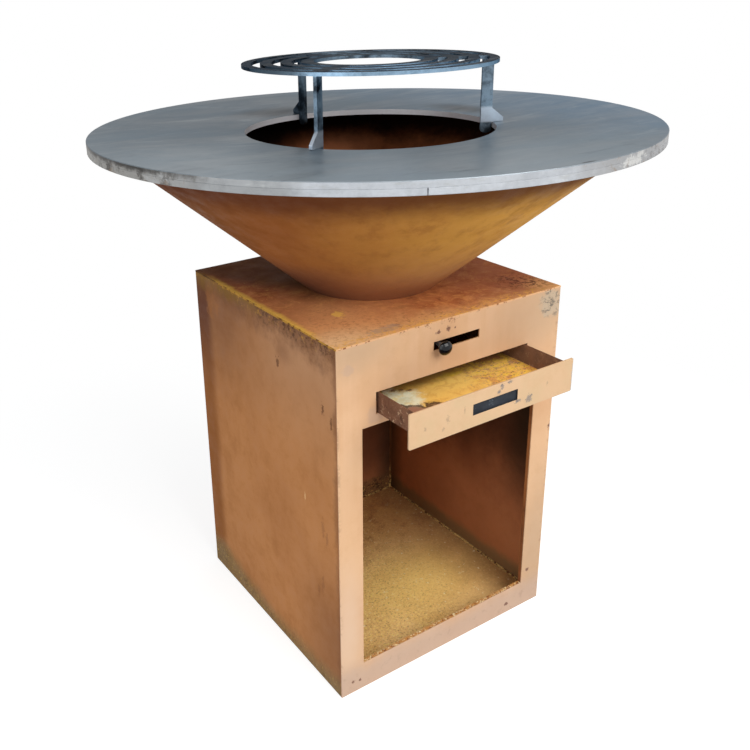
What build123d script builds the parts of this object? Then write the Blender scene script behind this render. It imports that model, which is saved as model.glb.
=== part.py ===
# Free-standing fire pit grill. A square weathering-steel cabinet holds firewood, an ash drawer and a
# lever-worked ash shutter. A conical fire bowl stands on it, with a ring-shaped griddle on the bowl's rim
# and a slotted grate on three hooked legs over the griddle's hole.
# Millimetres, +Z up, front towards -Y. The origin is on the ground, under the bowl's axis.

import os
from math import atan2, cos, radians, sin, tan

from build123d import *

os.makedirs("parts", exist_ok=True)

# Cabinet
cabinet_width = 500.0
cabinet_depth = 500.0
cabinet_height = 695.0
sheet = 3.0  # thickness of the cabinet's sheets
edge_round = 1.2  # rounding of the cabinet's outer edges

# Wood store
jamb_width = 50.0
sill_height = 55.0
lip_depth = 6.0  # folded lip round the store opening, measured behind the sheet
floor_height = 10.0  # ground to the top of the store floor

# Drawer opening
opening_margin = 77.5  # sheet left at each side of the opening
opening_height = 40.0
ash_space = 26.4  # end of the shutter's pivot down to the top of the opening
rail_height = 20.0  # sheet left between the drawer opening and the store opening

# Ash drawer
drawer_pull = 95.0  # how far the drawer stands open
tray_sheet = 2.0
tray_bend = 4.0  # outer radius of the tray's corners
tray_side_clearance = 5.0
tray_top_clearance = 1.5
tray_rear_gap = 74.0  # closed tray to the cabinet's back
slide_gap = 0.3  # running gap under the tray
front_side_lap = 10.0
front_top_lap = 3.0
front_corner = 3.0
front_edge_round = 0.8
pull_width = 100.0
pull_height = 20.0
guide_leg = 22.0
guide_clearance = 1.5  # tray side to guide

# Fire bowl
bowl_height = 287.0
bowl_rim_radius = 470.0
bowl_sheet = 4.0
bowl_ledge = 38.0  # width of the bowl's flat bottom outside the chute
weld_gap = 0.3

# Ash chute and the fixed plate at its foot
chute_radius = 92.0
chute_wall = 3.0
chute_clearance = 3.0  # chute to the hole in the cabinet top
ash_plate_thickness = 5.0
ash_plate_lap = 8.0  # fixed plate outside the chute

# Ash shutter and its lever
slot_drop = 45.0  # cabinet top to the middle of the lever slot
slot_height = 16.0
lever_swing = 21.0  # degrees between the ends of the slot
lever_from_end = 2.0  # degrees from the left end of its swing, as it stands
lever_radius = 4.0
lever_flat = 1.0  # depth of the flat that seats on the arm
lever_end_clearance = 1.2
arm_width = 24.0
arm_end_gap = 73.0  # arm to the cabinet's front sheet
shutter_sheet = 4.0
shutter_gap = 0.3
shutter_lap = 4.0  # shutter outside the chute
sector_count = 8
sector_angle = 19.0
sector_hub = 26.0
sector_border = 7.0  # chute bore to the sectors' outer ends
sector_margin = 0.75  # degrees short of square at each end of the swing

# Shutter pivot
pivot_radius = 6.0
pivot_clearance = 0.08
pivot_head_height = 7.5
pivot_nut_height = 10.8
pivot_washer_height = 2.5
pivot_washer_radius = 12.0
pivot_hex = 18.0  # across flats
thread_end = 3.0  # bolt end beyond its nut
hex_sides = 6

# Knob
knob_radius = 13.6
knob_dome = 8.5
knob_skirt = 6.5  # knob's back to its widest place
knob_edge_round = 2.0
knob_neck_radius = 8.0
knob_neck = 3.0
knob_bore_depth = 9.0
knob_stand = 9.5  # cabinet front to the knob's back, along the lever
knob_nut_height = 4.0
knob_nut_hex = 13.0
thread_clearance = 0.1

# Bowl bolts
bolt_count = 4
bolt_radius = 4.0
bolt_hex = 13.0
bolt_head_height = 5.3
bolt_nut_height = 6.8
bolt_washer_radius = 8.0
bolt_washer_height = 1.6
bolt_clearance = 0.5

# Griddle
griddle_overhang = 30.0  # plate outside the bowl's rim
griddle_hole_radius = 225.0
griddle_thickness = 10.0
griddle_dish = 10.0  # fall of the plate from its flat rim to the hole
griddle_seat = 15.0  # flat rim inside the bowl's edge
griddle_chamfer = 1.0
band_height = 10.0
band_clearance = 5.0  # bowl's edge to the rim band
band_joint_gap = 1.5
band_joint_angle = 242.0
band_chamfer = 0.8
seam_chamfer = 0.3  # where the plate meets the band

# Grate
grate_height = 118.0  # griddle's inner edge to the top of the grate
grate_margin = 1.5  # disc outside its legs
grate_thickness = 6.0
grate_eye_radius = 97.5
grate_slot_count = 3
grate_slot_width = 16.5
grate_outer_bar = 16.5
grate_eye_bar = 22.5
spoke_width = 30.0
leg_count = 3
leg_turn = 91.5  # degrees from +X to the leg at the back
leg_thickness = 6.0
leg_width = 20.5
leg_side_clearance = 1.5  # leg to the griddle's hole
leg_seat_gap = 0.3
tongue_depth = 19.0  # leg below the griddle's inner edge
tongue_round = 8.0
hook_reach = 21.0
hook_rise = 25.0
hook_tip = 7.0  # height of the hook's outer end
hook_round = 1.5

# Places and levels worked out from the sizes above
straight_ahead = 270.0  # degrees from +X
half_width = cabinet_width / 2
half_depth = cabinet_depth / 2
inner_width = cabinet_width - 2 * sheet
inner_depth = cabinet_depth - 2 * sheet
wall_height = cabinet_height - sheet
sheet_round = min(edge_round, 0.4 * sheet)

chute_bore = chute_radius - chute_wall
bowl_base_radius = chute_radius + bowl_ledge
bowl_slope = atan2(bowl_rim_radius - bowl_base_radius, bowl_height)
bowl_wall = bowl_sheet / cos(bowl_slope)  # wall measured level
bowl_rim_top = cabinet_height + bowl_height
bowl_floor_radius = bowl_base_radius - bowl_wall - weld_gap
bowl_floor_top = cabinet_height + bowl_sheet
chute_hole_radius = chute_radius + chute_clearance
bolt_circle = (chute_hole_radius + bowl_floor_radius) / 2

lever_height = cabinet_height - slot_drop
lever_turn = lever_swing / 2 - lever_from_end  # degrees to the left of straight ahead
lever_angle = straight_ahead - lever_turn
lever_side = half_depth * tan(radians(lever_swing / 2)) + lever_radius / cos(radians(lever_swing / 2))
slot_length = 2 * (lever_side + lever_end_clearance)
arm_top = lever_height - lever_radius + lever_flat
shutter_bottom = arm_top - shutter_sheet
shutter_radius = chute_radius + shutter_lap
ash_plate_bottom = arm_top + shutter_gap
ash_plate_top = ash_plate_bottom + ash_plate_thickness
ash_plate_radius = chute_radius + ash_plate_lap
sector_outer = chute_bore - sector_border
sector_pitch = 360.0 / sector_count
shutter_phase = sector_margin + lever_from_end - sector_pitch / 2
rod_start = ash_plate_radius + lever_radius
arm_length = half_depth - sheet - arm_end_gap
seat_length = arm_length - rod_start  # rod that lies on the arm
knob_start = half_depth / cos(radians(lever_turn)) + knob_stand

washer_top = shutter_bottom - shutter_gap
pivot_nut_top = washer_top - pivot_washer_height
pivot_end = pivot_nut_top - pivot_nut_height - thread_end

opening_width = cabinet_width - 2 * opening_margin
opening_top = pivot_end - ash_space
opening_bottom = opening_top - opening_height
store_top = opening_bottom - rail_height
store_width = cabinet_width - 2 * jamb_width
store_height = store_top - sill_height
store_middle = (store_top + sill_height) / 2

griddle_radius = bowl_rim_radius + griddle_overhang
griddle_bottom = bowl_rim_top
griddle_top = griddle_bottom + griddle_thickness
griddle_flat_radius = bowl_rim_radius - griddle_seat
griddle_fall = griddle_dish / (griddle_flat_radius - griddle_hole_radius)
griddle_edge_top = griddle_top - griddle_dish
grate_top = griddle_edge_top + grate_height
grate_bottom = grate_top - grate_thickness
leg_outer = griddle_hole_radius - leg_side_clearance
leg_inner = leg_outer - leg_width
grate_radius = leg_outer + grate_margin
slot_rings_outer = grate_radius - grate_outer_bar
slot_rings_inner = grate_eye_radius + grate_eye_bar
slot_pitch = (slot_rings_outer - slot_rings_inner - grate_slot_width) / (grate_slot_count - 1)

front_plane = Plane.XZ.offset(half_depth)
lever_direction = Vector(cos(radians(lever_angle)), sin(radians(lever_angle)), 0)
lever_across = Vector(lever_direction.Y, -lever_direction.X, 0)
lever_plane = Plane(origin=(0, 0, lever_height), x_dir=lever_direction, z_dir=lever_across)
lever_axis = Axis((0, 0, lever_height), lever_direction)


def finish(piece, name):
    """Name a finished piece and write it to its own file."""
    piece.part.label = name
    export_step(piece.part, f"parts/{name}.step")


def cut_sector(middle):
    """Cut one ash opening, centred on an angle, out of the sketch being drawn."""
    start = middle - sector_angle / 2
    with BuildLine() as outline:
        outer_arc = CenterArc((0, 0), sector_outer, start, sector_angle)
        inner_arc = CenterArc((0, 0), sector_hub, start, sector_angle)
        Line(outer_arc @ 0, inner_arc @ 0)
        Line(outer_arc @ 1, inner_arc @ 1)
    make_face(outline.edges(), mode=Mode.SUBTRACT)


# Cabinet top, with the chute's hole and the bowl's bolt holes
with BuildPart() as cabinet_top:
    with BuildSketch(Plane.XY.offset(wall_height)):
        Rectangle(cabinet_width, cabinet_depth)
        Circle(chute_hole_radius, mode=Mode.SUBTRACT)
        with PolarLocations(bolt_circle, bolt_count):
            Circle(bolt_radius + bolt_clearance, mode=Mode.SUBTRACT)
    extrude(amount=sheet)
    fillet(cabinet_top.edges().filter_by(GeomType.LINE).group_by(Axis.Z)[-1], sheet_round)
finish(cabinet_top, "cabinet_top")

# Cabinet sides, behind the front sheet
for side_name, side in (("left", -1), ("right", 1)):
    with BuildPart() as cabinet_side:
        with BuildSketch(Plane.XY):
            with Locations((side * (half_width - sheet / 2), sheet / 2)):
                Rectangle(sheet, cabinet_depth - sheet)
        extrude(amount=wall_height)
        outer_rear = cabinet_side.edges().filter_by(Axis.Z).group_by(Axis.Y)[-1].sort_by(Axis.X)
        fillet(outer_rear[-1 if side > 0 else 0], sheet_round)
    finish(cabinet_side, f"cabinet_side_{side_name}")

# Cabinet back, between the sides
with BuildPart() as cabinet_back:
    with BuildSketch(Plane.XY):
        with Locations((0, half_depth - sheet / 2)):
            Rectangle(inner_width, sheet)
    extrude(amount=wall_height)
finish(cabinet_back, "cabinet_back")

# Front sheet: lever slot, drawer opening, and the store opening with its folded lip
with BuildPart() as front_fascia:
    with BuildSketch(front_plane):
        with Locations((0, wall_height / 2)):
            Rectangle(cabinet_width, wall_height)
        with Locations((0, lever_height)):
            Rectangle(slot_length, slot_height, mode=Mode.SUBTRACT)
        with Locations((0, opening_bottom + opening_height / 2)):
            Rectangle(opening_width, opening_height, mode=Mode.SUBTRACT)
        with Locations((0, store_middle)):
            Rectangle(store_width, store_height, mode=Mode.SUBTRACT)
    extrude(amount=-sheet)
    with BuildSketch(front_plane):
        with Locations((0, store_middle)):
            Rectangle(store_width + 2 * sheet, store_height + 2 * sheet)
            Rectangle(store_width, store_height, mode=Mode.SUBTRACT)
    extrude(amount=-(sheet + lip_depth))
    front_edges = front_fascia.faces().sort_by(Axis.Y)[0].edges()
    upright_edges = front_edges.filter_by(Axis.Z).sort_by(Axis.X)
    store_edges = front_fascia.faces().sort_by(Axis.Y)[0].inner_wires().sort_by(Axis.Z)[0].edges()
    fillet([upright_edges[0], upright_edges[-1]] + list(store_edges), sheet_round)
finish(front_fascia, "front_fascia")

# Store floor, and the deck that divides the wood store from the ash space
for level_name, level in (("store_floor", floor_height), ("drawer_deck", opening_bottom)):
    with BuildPart() as level_sheet:
        with BuildSketch(Plane.XY.offset(level - sheet)):
            Rectangle(inner_width, inner_depth)
        extrude(amount=sheet)
    finish(level_sheet, level_name)

# Drawer guides: angle bars on the deck, either side of the tray
tray_width = opening_width - 2 * tray_side_clearance
guide_inner = tray_width / 2 + guide_clearance
for side_name, side in (("left", -1), ("right", 1)):
    with BuildPart() as drawer_guide:
        with BuildSketch(Plane.XZ.offset(half_depth - sheet)):
            with BuildLine():
                Polyline(
                    (side * guide_inner, opening_bottom),
                    (side * (guide_inner + guide_leg), opening_bottom),
                    (side * (guide_inner + guide_leg), opening_bottom + sheet),
                    (side * (guide_inner + sheet), opening_bottom + sheet),
                    (side * (guide_inner + sheet), opening_bottom + guide_leg),
                    (side * guide_inner, opening_bottom + guide_leg),
                    close=True,
                )
            make_face()
        extrude(amount=-(inner_depth - tray_rear_gap))
    finish(drawer_guide, f"drawer_guide_{side_name}")

# Ash tray: one folded sheet, open at the top
tray_bottom = opening_bottom + slide_gap
tray_height = opening_height - slide_gap - tray_top_clearance
tray_depth = cabinet_depth - sheet - tray_rear_gap
tray_front = -half_depth - drawer_pull
with BuildPart() as drawer_tray:
    with BuildSketch(Plane.XY.offset(tray_bottom)):
        with Locations((0, tray_front + tray_depth / 2)):
            Rectangle(tray_width, tray_depth)
    extrude(amount=tray_height)
    fillet(drawer_tray.edges().filter_by(Axis.Z), tray_bend)
    offset(amount=-tray_sheet, openings=drawer_tray.faces().sort_by(Axis.Z)[-1])
finish(drawer_tray, "drawer_tray")

# Drawer front: laps over the opening, with the pull cut-out in its middle
front_height = opening_height + front_top_lap + rail_height
front_middle = opening_top + front_top_lap - front_height / 2
with BuildPart() as drawer_front:
    with BuildSketch(Plane.XZ.offset(-tray_front)):
        with Locations((0, front_middle)):
            RectangleRounded(opening_width + 2 * front_side_lap, front_height, front_corner)
            Rectangle(pull_width, pull_height, mode=Mode.SUBTRACT)
    extrude(amount=sheet)
    fillet(drawer_front.faces().sort_by(Axis.Y)[0].outer_wire().edges(), front_edge_round)
finish(drawer_front, "drawer_front")

# Fire bowl: a cone of sheet from the cabinet top to the griddle
with BuildPart() as bowl_cone:
    with BuildSketch(Plane.XZ):
        with BuildLine():
            Polyline(
                (bowl_base_radius - bowl_wall, cabinet_height),
                (bowl_base_radius, cabinet_height),
                (bowl_rim_radius, bowl_rim_top),
                (bowl_rim_radius - bowl_wall, bowl_rim_top),
                close=True,
            )
        make_face()
    revolve(axis=Axis.Z)
finish(bowl_cone, "bowl_cone")

# Bowl floor: a ring welded into the foot of the cone
with BuildPart() as bowl_floor:
    with BuildSketch(Plane.XY.offset(cabinet_height)):
        Circle(bowl_floor_radius)
        Circle(chute_radius + weld_gap, mode=Mode.SUBTRACT)
        with PolarLocations(bolt_circle, bolt_count):
            Circle(bolt_radius + bolt_clearance, mode=Mode.SUBTRACT)
    extrude(amount=bowl_sheet)
finish(bowl_floor, "bowl_floor")

# Ash chute: a short tube from the bowl floor down to the fixed plate
with BuildPart() as ash_chute:
    with BuildSketch(Plane.XY.offset(ash_plate_top)):
        Circle(chute_radius)
        Circle(chute_bore, mode=Mode.SUBTRACT)
    extrude(amount=bowl_floor_top - ash_plate_top)
finish(ash_chute, "ash_chute")

# Fixed ash plate at the foot of the chute
with BuildPart() as ash_plate:
    with BuildSketch(Plane.XY.offset(ash_plate_bottom)):
        Circle(ash_plate_radius)
        Circle(pivot_radius + weld_gap, mode=Mode.SUBTRACT)
        for index in range(sector_count):
            cut_sector(index * sector_pitch)
    extrude(amount=ash_plate_thickness)
finish(ash_plate, "ash_plate")

# Turning shutter under it, cut in one piece with the arm of the lever
with BuildPart() as shutter_plate:
    with BuildSketch(Plane.XY.offset(shutter_bottom)):
        Circle(shutter_radius)
        with PolarLocations(arm_length / 2, 1, start_angle=lever_angle):
            Rectangle(arm_length, arm_width)
        Circle(pivot_radius + pivot_clearance, mode=Mode.SUBTRACT)
        for index in range(sector_count):
            cut_sector(index * sector_pitch + shutter_phase)
    extrude(amount=shutter_sheet)
finish(shutter_plate, "shutter_plate")

# Lever rod: welded along a flat to the arm, then out through the slot into the knob
rod_length = knob_start + knob_bore_depth - thread_clearance - rod_start
with BuildPart() as lever_rod:
    with BuildSketch(Plane(lever_plane.origin + lever_direction * rod_start, z_dir=lever_direction)):
        Circle(lever_radius)
    extrude(amount=rod_length)
    with BuildSketch(lever_plane):
        with Locations((rod_start + seat_length / 2, lever_flat / 2 - lever_radius)):
            Rectangle(seat_length, lever_flat)
    extrude(amount=lever_radius, both=True, mode=Mode.SUBTRACT)
finish(lever_rod, "lever_rod")

# Knob: a mushroom turned round the lever's axis, with a blind bore for the rod
knob_widest = knob_start + knob_skirt
knob_end = knob_widest + knob_dome
dome_radius = (knob_radius**2 + knob_dome**2) / (2 * knob_dome)
bore_end = knob_start + knob_bore_depth
with BuildPart() as damper_knob:
    with BuildSketch(lever_plane) as knob_profile:
        with BuildLine():
            Polyline(
                (knob_end, 0),
                (bore_end, 0),
                (bore_end, lever_radius + thread_clearance),
                (knob_start, lever_radius + thread_clearance),
                (knob_start, knob_neck_radius),
                (knob_start + knob_neck, knob_neck_radius),
                (knob_widest, knob_radius),
            )
            RadiusArc((knob_widest, knob_radius), (knob_end, 0), dome_radius)
        make_face()
        fillet(knob_profile.vertices().group_by(Axis.Y)[-1], knob_edge_round)
    revolve(axis=lever_axis)
finish(damper_knob, "damper_knob")

# Jam nut behind the knob
with BuildPart() as knob_nut:
    with BuildSketch(Plane(lever_plane.origin + lever_direction * knob_start, z_dir=-lever_direction)):
        RegularPolygon(knob_nut_hex / 2, hex_sides, major_radius=False)
        Circle(lever_radius + thread_clearance, mode=Mode.SUBTRACT)
    extrude(amount=knob_nut_height)
finish(knob_nut, "knob_nut")

# Shutter pivot: a bolt down through both plates, with a washer and nut under the shutter
with BuildPart() as pivot_bolt:
    with BuildSketch(Plane.XY.offset(ash_plate_top)):
        RegularPolygon(pivot_hex / 2, hex_sides, major_radius=False)
    extrude(amount=pivot_head_height)
    with BuildSketch(Plane.XY.offset(pivot_end)):
        Circle(pivot_radius)
    extrude(amount=ash_plate_top - pivot_end)
finish(pivot_bolt, "pivot_bolt")

with BuildPart() as pivot_washer:
    with BuildSketch(Plane.XY.offset(pivot_nut_top)):
        Circle(pivot_washer_radius)
        Circle(pivot_radius + weld_gap, mode=Mode.SUBTRACT)
    extrude(amount=pivot_washer_height)
finish(pivot_washer, "pivot_washer")

with BuildPart() as pivot_nut:
    with BuildSketch(Plane.XY.offset(pivot_nut_top - pivot_nut_height)):
        RegularPolygon(pivot_hex / 2, hex_sides, major_radius=False)
        Circle(pivot_radius + thread_clearance, mode=Mode.SUBTRACT)
    extrude(amount=pivot_nut_height)
finish(pivot_nut, "pivot_nut")

# Bowl bolts, heads in the bowl, washers and nuts under the cabinet top
bolt_washer_bottom = wall_height - bolt_washer_height
bolt_end = bolt_washer_bottom - bolt_nut_height - thread_end
with BuildPart() as bowl_bolts:
    with BuildSketch(Plane.XY.offset(bowl_floor_top)):
        with PolarLocations(bolt_circle, bolt_count):
            RegularPolygon(bolt_hex / 2, hex_sides, major_radius=False)
    extrude(amount=bolt_head_height)
    with BuildSketch(Plane.XY.offset(bolt_end)):
        with PolarLocations(bolt_circle, bolt_count):
            Circle(bolt_radius)
    extrude(amount=bowl_floor_top - bolt_end)
finish(bowl_bolts, "bowl_bolts")

with BuildPart() as bowl_washers:
    with BuildSketch(Plane.XY.offset(bolt_washer_bottom)):
        with PolarLocations(bolt_circle, bolt_count):
            Circle(bolt_washer_radius)
            Circle(bolt_radius + bolt_clearance, mode=Mode.SUBTRACT)
    extrude(amount=bolt_washer_height)
finish(bowl_washers, "bowl_washers")

with BuildPart() as bowl_nuts:
    with BuildSketch(Plane.XY.offset(bolt_washer_bottom - bolt_nut_height)):
        with PolarLocations(bolt_circle, bolt_count):
            RegularPolygon(bolt_hex / 2, hex_sides, major_radius=False)
            Circle(bolt_radius + thread_clearance, mode=Mode.SUBTRACT)
    extrude(amount=bolt_nut_height)
finish(bowl_nuts, "bowl_nuts")

# Griddle: a flat rim that sits on the bowl, falling gently to the hole
with BuildPart() as griddle_plate:
    with BuildSketch(Plane.XZ):
        with BuildLine():
            Polyline(
                (griddle_hole_radius, griddle_bottom - griddle_dish),
                (griddle_flat_radius, griddle_bottom),
                (griddle_radius, griddle_bottom),
                (griddle_radius, griddle_top),
                (griddle_flat_radius, griddle_top),
                (griddle_hole_radius, griddle_edge_top),
                close=True,
            )
        rim_edge = make_face()
        rim_corners = rim_edge.vertices().group_by(Axis.X)[-1].sort_by(Axis.Y)
        chamfer(rim_corners[0], seam_chamfer)
        chamfer(rim_corners[-1], griddle_chamfer)
    revolve(axis=Axis.Z)
finish(griddle_plate, "griddle_plate")

# Rim band: a flat bar rolled under the griddle's edge, open at its butt joint
band_inner = bowl_rim_radius + band_clearance
with BuildPart() as griddle_rim_band:
    with BuildSketch(Plane.XY.offset(griddle_bottom)):
        Circle(griddle_radius)
        Circle(band_inner, mode=Mode.SUBTRACT)
        with PolarLocations((griddle_radius + band_inner) / 2, 1, start_angle=band_joint_angle):
            Rectangle(2 * (griddle_radius - band_inner), band_joint_gap, mode=Mode.SUBTRACT)
    extrude(amount=-band_height)
    rim_arcs = griddle_rim_band.edges().filter_by(GeomType.CIRCLE).group_by(SortBy.RADIUS)[-1].sort_by(Axis.Z)
    chamfer(rim_arcs[0], band_chamfer)
    chamfer(rim_arcs[-1], seam_chamfer)
finish(griddle_rim_band, "griddle_rim_band")

# Grate: rings of arc slots, broken by a spoke over each leg
with BuildPart() as grate_disc:
    with BuildSketch(Plane.XY.offset(grate_bottom)):
        Circle(grate_radius)
        Circle(grate_eye_radius, mode=Mode.SUBTRACT)
    extrude(amount=grate_thickness)
    with BuildSketch(Plane.XY.offset(grate_bottom)):
        for ring in range(grate_slot_count):
            slot_outer = slot_rings_outer - ring * slot_pitch
            Circle(slot_outer)
            Circle(slot_outer - grate_slot_width, mode=Mode.SUBTRACT)
        with PolarLocations(grate_radius / 2, leg_count, start_angle=leg_turn):
            Rectangle(grate_radius, spoke_width, mode=Mode.SUBTRACT)
    extrude(amount=grate_thickness, mode=Mode.SUBTRACT)
finish(grate_disc, "grate_disc")

# Grate legs: flat plates that hook over the griddle's inner edge, with a tongue down into the hole
leg_seat = griddle_edge_top + leg_seat_gap
hook_outer = leg_outer + hook_reach
hook_seat = leg_seat + griddle_fall * (hook_outer - griddle_hole_radius)
for leg_index, leg_name in enumerate(("back", "left", "right")):
    leg_angle = radians(leg_turn + leg_index * 360 / leg_count)
    outward = Vector(cos(leg_angle), sin(leg_angle), 0)
    leg_plane = Plane(origin=(0, 0, 0), x_dir=outward, z_dir=Vector(outward.Y, -outward.X, 0))
    with BuildPart() as grate_leg:
        with BuildSketch(leg_plane) as leg_profile:
            with BuildLine():
                Polyline(
                    (leg_inner, grate_bottom),
                    (leg_inner, griddle_edge_top - tongue_depth),
                    (leg_outer, griddle_edge_top - tongue_depth),
                    (leg_outer, leg_seat),
                    (hook_outer, hook_seat),
                    (hook_outer, hook_seat + hook_tip),
                    (leg_outer, leg_seat + hook_rise),
                    (leg_outer, grate_bottom),
                    close=True,
                )
            make_face()
            fillet(leg_profile.vertices().group_by(Axis.Y)[0], min(tongue_round, 0.45 * leg_width))
            fillet(leg_profile.vertices().group_by(Axis.X)[-1], hook_round)
        extrude(amount=leg_thickness / 2, both=True)
    finish(grate_leg, f"grate_leg_{leg_name}")
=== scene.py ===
import math
import random

import bpy
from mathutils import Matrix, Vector


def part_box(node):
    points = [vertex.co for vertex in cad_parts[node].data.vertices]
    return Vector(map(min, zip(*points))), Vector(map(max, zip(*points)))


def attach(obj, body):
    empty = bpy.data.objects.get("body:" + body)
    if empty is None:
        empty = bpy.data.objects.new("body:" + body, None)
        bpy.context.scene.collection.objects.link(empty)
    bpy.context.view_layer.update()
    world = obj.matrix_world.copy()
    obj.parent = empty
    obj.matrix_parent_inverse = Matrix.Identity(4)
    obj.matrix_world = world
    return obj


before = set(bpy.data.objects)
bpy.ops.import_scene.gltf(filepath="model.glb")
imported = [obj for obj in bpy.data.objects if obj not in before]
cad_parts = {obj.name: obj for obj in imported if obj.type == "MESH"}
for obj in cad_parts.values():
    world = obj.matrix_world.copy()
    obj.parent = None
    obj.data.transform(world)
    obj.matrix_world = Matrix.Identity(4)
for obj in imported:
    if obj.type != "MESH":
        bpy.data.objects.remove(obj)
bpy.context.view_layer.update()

# Places that the finishes and the added pieces refer to, in metres, read from the frame
LEFT, FRONT, TOP_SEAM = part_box("cabinet_top")[0]
RIGHT, REAR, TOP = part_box("cabinet_top")[1]
STORE_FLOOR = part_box("store_floor")[1][2]
DECK_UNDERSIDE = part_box("drawer_deck")[0][2]
INNER_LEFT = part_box("cabinet_side_left")[1][0]
INNER_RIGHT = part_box("cabinet_side_right")[0][0]
INNER_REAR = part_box("cabinet_back")[0][1]
LIP_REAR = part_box("front_fascia")[1][1]
TRAY_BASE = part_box("drawer_tray")[0][2]
DRAWER_LOW, DRAWER_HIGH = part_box("drawer_front")
BOWL_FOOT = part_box("bowl_cone")[0][2]
BOWL_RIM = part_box("bowl_cone")[1][2]
PLATE_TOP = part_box("griddle_plate")[1][2]
GRATE_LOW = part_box("grate_disc")[0][2]

# Noises that are used in more than one place: features to the metre, detail, roughness and stretch
MOTTLE = (26.0, 7.0, 0.66)
GRAIN = (420.0, 4.0, 0.65)
BAR_DRAG = (120.0, 5.0, 0.7, (0.3, 0.3, 1.4))

ROLLED = math.radians(32)  # direction in which the plates were rolled, seen from above
MARK_DEPTH = 0.02  # how far the outline of a mark reaches off the sheet that it lies on

# Weld beads, in metres: size, distance from ripple to ripple, and clearance from the sheets
BEAD_RADIUS = 0.0035
BEAD_PITCH = 0.0032
BEAD_LIFT = 0.0002
BEAD_VALLEY = 0.82  # size between two ripples, as a share of the radius
BEAD_CREST = 0.18  # what a ripple adds to that
BEAD_UNEVEN = 0.05  # how much a ring may differ by chance
BEAD_FLATTENED = 0.16  # how far the bead's face falls short of a full round
BEAD_ARC_STEPS = 4
BEAD_RINGS_PER_RIPPLE = 4

# Nodes that share a finish
SOOTY_NODES = ("ash_chute", "ash_plate", "shutter_plate")
BOLT_NODES = ("pivot_bolt", "pivot_washer", "pivot_nut", "bowl_bolts", "bowl_washers", "bowl_nuts")
ZINC_NODES = ("lever_rod", "knob_nut", *BOLT_NODES)

# Floor, in metres: half its width, its distance below the object, and where its shadow fades to white
FLOOR_HALF = 40.0
FLOOR_DROP = 0.0005
SHADOW_REACH = (0.6, 1.5)

# Lamps: name, place, target, size in metres, watts and colour
LAMPS = (
    ("key", (0.4, -2.4, 2.7), (0.0, 0.0, 0.45), 2.4, 93.0, (1.0, 0.98, 0.95)),
    ("fill", (-3.2, -1.0, 1.2), (0.0, 0.0, 0.5), 2.4, 24.0, (0.95, 0.98, 1.0)),
    ("glint", (-2.2, -1.7, 2.4), (0.0, -0.2, 0.7), 0.4, 7.0, (0.92, 0.97, 1.0)),
)


def linear(colour):
    """What a colour socket takes for a coat, a node's output or display values from 0 to 255."""
    if isinstance(colour, Coat):
        return colour.top
    if isinstance(colour, bpy.types.NodeSocket):
        return colour
    shares = [value / 255 for value in colour]
    parts = [share / 12.92 if share <= 0.04045 else ((share + 0.055) / 1.055) ** 2.4 for share in shares]
    return (*parts, 1.0)


def empty_tree(owner):
    """The node tree of a material or world, with nothing in it."""
    owner.use_nodes = True
    owner.node_tree.nodes.clear()
    return owner.node_tree


def plug(tree, socket, value):
    """Link a socket to a node's output, or set its value."""
    if isinstance(value, bpy.types.NodeSocket):
        tree.links.new(value, socket)
    else:
        socket.default_value = value


def add_node(tree, kind, inputs):
    """A new node with its inputs, given by name or number."""
    node = tree.nodes.new(kind)
    for key, value in inputs.items():
        plug(tree, node.inputs[key], value)
    return node


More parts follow.
